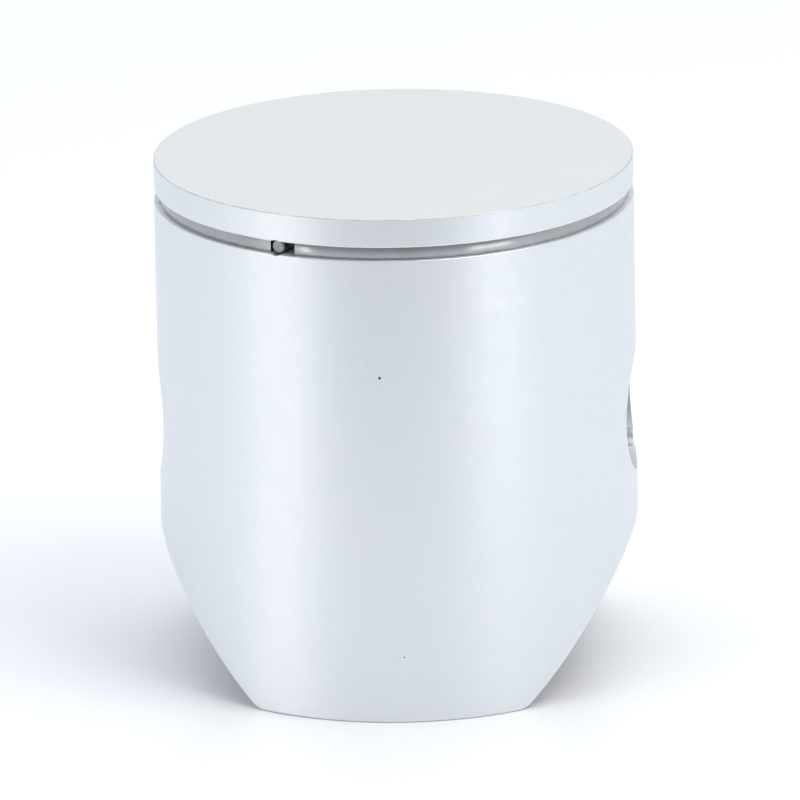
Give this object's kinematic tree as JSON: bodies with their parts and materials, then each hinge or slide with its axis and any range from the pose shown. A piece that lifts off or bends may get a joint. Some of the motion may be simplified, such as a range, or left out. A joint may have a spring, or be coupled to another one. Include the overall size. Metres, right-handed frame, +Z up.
{
  "type": "two-stroke piston set",
  "caption": "Flat-crown two-stroke piston with an arched skirt, fitted with its ring, ring pin, wrist pin, wire clips and caged small-end needle bearing.",
  "frame": {"origin": "on the floor under the middle of the skirt, where the two skirt feet stand", "axes": "+Z up the cylinder axis toward the crown, X along the wrist pin, Y through the two skirt feet, the ring-locating pin on the -Y side"},
  "size_m": [0.048, 0.048, 0.0516],
  "materials": {
    "blasted_aluminium": "matt, fine blasted",
    "pin_steel": "dull steel",
    "ring_steel": "lapped steel",
    "ground_steel": "ground and hardened",
    "wire_steel": "drawn spring wire",
    "cage_steel": "satin steel",
    "needle_steel": "polished rollers"
  },
  "bodies": {
    "piston": {"piston_body": "blasted_aluminium", "ring_locating_pin": "pin_steel", "circlip_left": "wire_steel", "circlip_right": "wire_steel"},
    "ring": {"piston_ring": "ring_steel"},
    "pin": {"wrist_pin": "ground_steel"},
    "cage": {"bearing_cage": "cage_steel"},
    "roller_01": {"needle_01": "needle_steel"},
    "roller_02": {"needle_02": "needle_steel"},
    "roller_03": {"needle_03": "needle_steel"},
    "roller_04": {"needle_04": "needle_steel"},
    "roller_05": {"needle_05": "needle_steel"},
    "roller_06": {"needle_06": "needle_steel"},
    "roller_07": {"needle_07": "needle_steel"},
    "roller_08": {"needle_08": "needle_steel"},
    "roller_09": {"needle_09": "needle_steel"},
    "roller_10": {"needle_10": "needle_steel"},
    "roller_11": {"needle_11": "needle_steel"},
    "roller_12": {"needle_12": "needle_steel"},
    "roller_13": {"needle_13": "needle_steel"},
    "roller_14": {"needle_14": "needle_steel"}
  },
  "joints": [
    {"name": "ring_turn", "type": "hinge", "parent": "piston", "child": "ring", "pos_m": [0, 0, 0.04808], "axis": [0, 0, 1], "range_deg": [-2.5, 0.06]},
    {"name": "wrist_pin_spin", "type": "hinge", "parent": "piston", "child": "pin", "pos_m": [0, 0, 0.0252], "axis": [1, 0, 0], "continuous": true},
    {"name": "cage_spin", "type": "hinge", "parent": "pin", "child": "cage", "pos_m": [0, 0, 0.0252], "axis": [1, 0, 0], "continuous": true},
    {"name": "needle_01_roll", "type": "hinge", "parent": "cage", "child": "roller_01", "pos_m": [0, 0, 0.03194], "axis": [1, 0, 0], "continuous": true},
    {"name": "needle_02_roll", "type": "hinge", "parent": "cage", "child": "roller_02", "pos_m": [0, 0.00292, 0.03127], "axis": [1, 0, 0], "continuous": true},
    {"name": "needle_03_roll", "type": "hinge", "parent": "cage", "child": "roller_03", "pos_m": [0, 0.00527, 0.0294], "axis": [1, 0, 0], "continuous": true},
    {"name": "needle_04_roll", "type": "hinge", "parent": "cage", "child": "roller_04", "pos_m": [0, 0.00657, 0.0267], "axis": [1, 0, 0], "continuous": true},
    {"name": "needle_05_roll", "type": "hinge", "parent": "cage", "child": "roller_05", "pos_m": [0, 0.00657, 0.0237], "axis": [1, 0, 0], "continuous": true},
    {"name": "needle_06_roll", "type": "hinge", "parent": "cage", "child": "roller_06", "pos_m": [0, 0.00527, 0.021], "axis": [1, 0, 0], "continuous": true},
    {"name": "needle_07_roll", "type": "hinge", "parent": "cage", "child": "roller_07", "pos_m": [0, 0.00292, 0.01913], "axis": [1, 0, 0], "continuous": true},
    {"name": "needle_08_roll", "type": "hinge", "parent": "cage", "child": "roller_08", "pos_m": [0, 0, 0.01846], "axis": [1, 0, 0], "continuous": true},
    {"name": "needle_09_roll", "type": "hinge", "parent": "cage", "child": "roller_09", "pos_m": [0, -0.00292, 0.01913], "axis": [1, 0, 0], "continuous": true},
    {"name": "needle_10_roll", "type": "hinge", "parent": "cage", "child": "roller_10", "pos_m": [0, -0.00527, 0.021], "axis": [1, 0, 0], "continuous": true},
    {"name": "needle_11_roll", "type": "hinge", "parent": "cage", "child": "roller_11", "pos_m": [0, -0.00657, 0.0237], "axis": [1, 0, 0], "continuous": true},
    {"name": "needle_12_roll", "type": "hinge", "parent": "cage", "child": "roller_12", "pos_m": [0, -0.00657, 0.0267], "axis": [1, 0, 0], "continuous": true},
    {"name": "needle_13_roll", "type": "hinge", "parent": "cage", "child": "roller_13", "pos_m": [0, -0.00527, 0.0294], "axis": [1, 0, 0], "continuous": true},
    {"name": "needle_14_roll", "type": "hinge", "parent": "cage", "child": "roller_14", "pos_m": [0, -0.00292, 0.03127], "axis": [1, 0, 0], "continuous": true}
  ],
  "couplings": [
    {"joint": "needle_01_roll", "follows": "cage_spin", "ratio": 7.9333},
    {"joint": "needle_02_roll", "follows": "cage_spin", "ratio": 7.9333},
    {"joint": "needle_03_roll", "follows": "cage_spin", "ratio": 7.9333},
    {"joint": "needle_04_roll", "follows": "cage_spin", "ratio": 7.9333},
    {"joint": "needle_05_roll", "follows": "cage_spin", "ratio": 7.9333},
    {"joint": "needle_06_roll", "follows": "cage_spin", "ratio": 7.9333},
    {"joint": "needle_07_roll", "follows": "cage_spin", "ratio": 7.9333},
    {"joint": "needle_08_roll", "follows": "cage_spin", "ratio": 7.9333},
    {"joint": "needle_09_roll", "follows": "cage_spin", "ratio": 7.9333},
    {"joint": "needle_10_roll", "follows": "cage_spin", "ratio": 7.9333},
    {"joint": "needle_11_roll", "follows": "cage_spin", "ratio": 7.9333},
    {"joint": "needle_12_roll", "follows": "cage_spin", "ratio": 7.9333},
    {"joint": "needle_13_roll", "follows": "cage_spin", "ratio": 7.9333},
    {"joint": "needle_14_roll", "follows": "cage_spin", "ratio": 7.9333}
  ]
}
